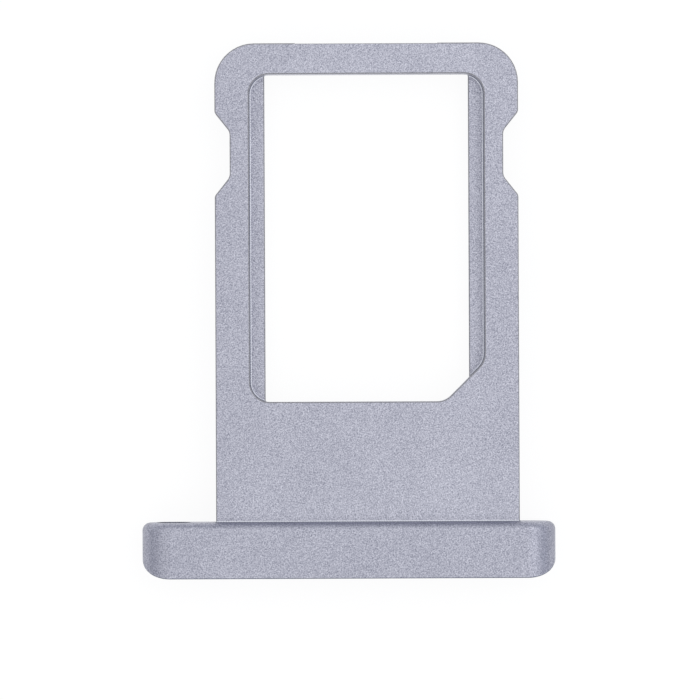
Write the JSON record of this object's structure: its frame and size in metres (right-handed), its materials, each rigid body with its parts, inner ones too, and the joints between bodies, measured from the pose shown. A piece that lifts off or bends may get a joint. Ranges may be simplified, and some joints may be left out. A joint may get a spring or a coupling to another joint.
{
  "type": "sim card tray",
  "caption": "Flat metal tray that carries a nano SIM card in a keyed pocket and slides into a tablet, with notched edges, a rounded end cap and an eject pin hole.",
  "frame": {"origin": "under the middle of the tray's box, on the plane that the cap rests on", "axes": "+X across the tray, +Y the way it slides in, away from the cap, +Z the open side of the card pocket"},
  "size_m": [0.0156, 0.0202, 0.0022],
  "materials": {
    "anodised_aluminium": "bead blasted and anodised, silver grey"
  },
  "bodies": {
    "root": {"sim_card_tray": "anodised_aluminium"}
  },
  "joints": []
}
